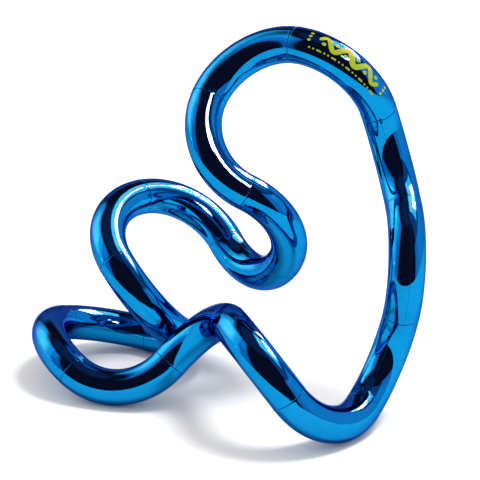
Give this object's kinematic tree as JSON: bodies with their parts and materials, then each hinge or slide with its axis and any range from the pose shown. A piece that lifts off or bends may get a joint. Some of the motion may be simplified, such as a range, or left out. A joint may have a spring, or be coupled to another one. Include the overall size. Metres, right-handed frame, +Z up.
{
  "type": "twisting chain fidget toy",
  "caption": "Closed loop of equal quarter-circle tube links that swivel on one another, standing on three of its curves, mirror-blue finish.",
  "frame": {"origin": "centre of the bounding box's bottom face, on the surface that the toy rests on", "axes": "+Z up, +X to the right seen from the front, -Y towards the viewer in front"},
  "size_m": [0.1106, 0.0878, 0.1046],
  "materials": {
    "mirror_blue": "polished",
    "lime_ink": "gloss"
  },
  "bodies": {
    "link_01": {"link_01_shell_a": "mirror_blue", "link_01_shell_b": "mirror_blue"},
    "link_02": {"link_02_shell_a": "mirror_blue", "link_02_shell_b": "mirror_blue"},
    "link_03": {"link_03_shell_a": "mirror_blue", "link_03_shell_b": "mirror_blue"},
    "link_04": {"link_04_shell_a": "mirror_blue", "link_04_shell_b": "mirror_blue"},
    "link_05": {"link_05_shell_a": "mirror_blue", "link_05_shell_b": "mirror_blue"},
    "link_06": {"link_06_shell_a": "mirror_blue", "link_06_shell_b": "mirror_blue"},
    "link_07": {"link_07_shell_a": "mirror_blue", "link_07_shell_b": "mirror_blue"},
    "link_08": {"link_08_shell_a": "mirror_blue", "link_08_shell_b": "mirror_blue"},
    "link_09": {"link_09_shell_a": "mirror_blue", "link_09_shell_b": "mirror_blue"},
    "link_10": {"link_10_shell_a": "mirror_blue", "link_10_shell_b": "mirror_blue"},
    "link_11": {"link_11_shell_a": "mirror_blue", "link_11_shell_b": "mirror_blue", "printed_film": "lime_ink"},
    "link_12": {"link_12_shell_a": "mirror_blue", "link_12_shell_b": "mirror_blue"},
    "link_13": {"link_13_shell_a": "mirror_blue", "link_13_shell_b": "mirror_blue"},
    "link_14": {"link_14_shell_a": "mirror_blue", "link_14_shell_b": "mirror_blue"},
    "link_15": {"link_15_shell_a": "mirror_blue", "link_15_shell_b": "mirror_blue"},
    "link_16": {"link_16_shell_a": "mirror_blue", "link_16_shell_b": "mirror_blue"},
    "link_17": {"link_17_shell_a": "mirror_blue", "link_17_shell_b": "mirror_blue"},
    "link_18": {"link_18_shell_a": "mirror_blue", "link_18_shell_b": "mirror_blue"}
  },
  "joints": [
    {"name": "swivel_10_11", "type": "hinge", "parent": "link_10", "child": "link_11", "pos_m": [0.04284, 0.00807, 0.08219], "axis": [-0.2823, -0.3959, 0.8738], "range_deg": [-5.8, 6.1]},
    {"name": "swivel_11_12", "type": "hinge", "parent": "link_11", "child": "link_12", "pos_m": [0.02067, 0.0114, 0.09942], "axis": [-0.8265, 0.5628, -0.0121], "range_deg": [-40.4, 38.4]},
    {"name": "swivel_12_13", "type": "hinge", "parent": "link_12", "child": "link_13", "pos_m": [-0.00348, 0.01116, 0.0847], "axis": [-0.381, -0.5751, -0.724], "range_deg": [-6, 6.3]},
    {"name": "swivel_13_14", "type": "hinge", "parent": "link_13", "child": "link_14", "pos_m": [0.00671, -0.00071, 0.06114], "axis": [0.8906, -0.018, -0.4544], "range_deg": [-59, 56]},
    {"name": "swivel_14_15", "type": "hinge", "parent": "link_14", "child": "link_15", "pos_m": [0.01714, 0.01003, 0.03714], "axis": [-0.3692, 0.5546, -0.7457], "range_deg": [-4.1, 3.9]},
    {"name": "swivel_15_16", "type": "hinge", "parent": "link_15", "child": "link_16", "pos_m": [0.00077, 0.03304, 0.03553], "axis": [-0.4492, 0.596, 0.6656], "range_deg": [-27.3, 26]},
    {"name": "swivel_16_17", "type": "hinge", "parent": "link_16", "child": "link_17", "pos_m": [-0.02384, 0.03249, 0.04946], "axis": [-0.7813, -0.6233, 0.0308], "range_deg": [-6.3, 6]},
    {"name": "swivel_17_18", "type": "hinge", "parent": "link_17", "child": "link_18", "pos_m": [-0.02978, 0.00728, 0.03809], "axis": [0.4846, -0.637, -0.5995], "range_deg": [-26, 24.7]},
    {"name": "swivel_09_10", "type": "hinge", "parent": "link_10", "child": "link_09", "pos_m": [0.04979, -0.00235, 0.05683], "axis": [-0.0652, 0.9167, 0.3943], "range_deg": [-30.3, 28.8]},
    {"name": "swivel_08_09", "type": "hinge", "parent": "link_09", "child": "link_08", "pos_m": [0.04892, -0.01296, 0.03062], "axis": [0.1089, -0.3862, 0.916], "range_deg": [-8.3, 8.7]},
    {"name": "swivel_07_08", "type": "hinge", "parent": "link_08", "child": "link_07", "pos_m": [0.03789, -0.02211, 0.00624], "axis": [0.4426, 0.8439, 0.3032], "range_deg": [-27.4, 28.8]},
    {"name": "swivel_06_07", "type": "hinge", "parent": "link_07", "child": "link_06", "pos_m": [0.01748, -0.03879, 0.0165], "axis": [0.5779, -0.0099, -0.8161], "range_deg": [-10.6, 10.1]},
    {"name": "swivel_05_06", "type": "hinge", "parent": "link_06", "child": "link_05", "pos_m": [0.00215, -0.01917, 0.02991], "axis": [0.1885, -0.9713, 0.1453], "range_deg": [-47.6, 50.1]},
    {"name": "swivel_04_05", "type": "hinge", "parent": "link_05", "child": "link_04", "pos_m": [-0.0148, -0.00444, 0.01272], "axis": [0.6591, 0.2348, 0.7145], "range_deg": [-12.7, 12]},
    {"name": "swivel_03_04", "type": "hinge", "parent": "link_04", "child": "link_03", "pos_m": [-0.04216, 0.00111, 0.00813], "axis": [0.7086, -0.5123, -0.4853], "range_deg": [-28.1, 26.6]},
    {"name": "swivel_02_03", "type": "hinge", "parent": "link_03", "child": "link_02", "pos_m": [-0.04777, 0.02853, 0.01221], "axis": [-0.4279, -0.8588, 0.2818], "range_deg": [-31.4, 29.8]},
    {"name": "swivel_01_02", "type": "hinge", "parent": "link_02", "child": "link_01", "pos_m": [-0.02153, 0.03646, 0.00524], "axis": [-0.8842, 0.4624, 0.0667], "range_deg": [-16.7, 17.6]}
  ],
  "couplings": [
    {"joint": "swivel_01_02", "follows": "swivel_13_14", "ratio": -0.295},
    {"joint": "swivel_02_03", "follows": "swivel_13_14", "ratio": 0.53},
    {"joint": "swivel_03_04", "follows": "swivel_13_14", "ratio": 0.473},
    {"joint": "swivel_04_05", "follows": "swivel_13_14", "ratio": 0.212},
    {"joint": "swivel_05_06", "follows": "swivel_13_14", "ratio": -0.847},
    {"joint": "swivel_06_07", "follows": "swivel_13_14", "ratio": 0.177},
    {"joint": "swivel_07_08", "follows": "swivel_13_14", "ratio": -0.486},
    {"joint": "swivel_08_09", "follows": "swivel_13_14", "ratio": -0.145},
    {"joint": "swivel_09_10", "follows": "swivel_13_14", "ratio": 0.511},
    {"joint": "swivel_10_11", "follows": "swivel_13_14", "ratio": -0.101},
    {"joint": "swivel_11_12", "follows": "swivel_13_14", "ratio": 0.683},
    {"joint": "swivel_12_13", "follows": "swivel_13_14", "ratio": -0.104},
    {"joint": "swivel_14_15", "follows": "swivel_13_14", "ratio": 0.067},
    {"joint": "swivel_15_16", "follows": "swivel_13_14", "ratio": 0.461},
    {"joint": "swivel_16_17", "follows": "swivel_13_14", "ratio": 0.105},
    {"joint": "swivel_17_18", "follows": "swivel_13_14", "ratio": 0.438}
  ]
}
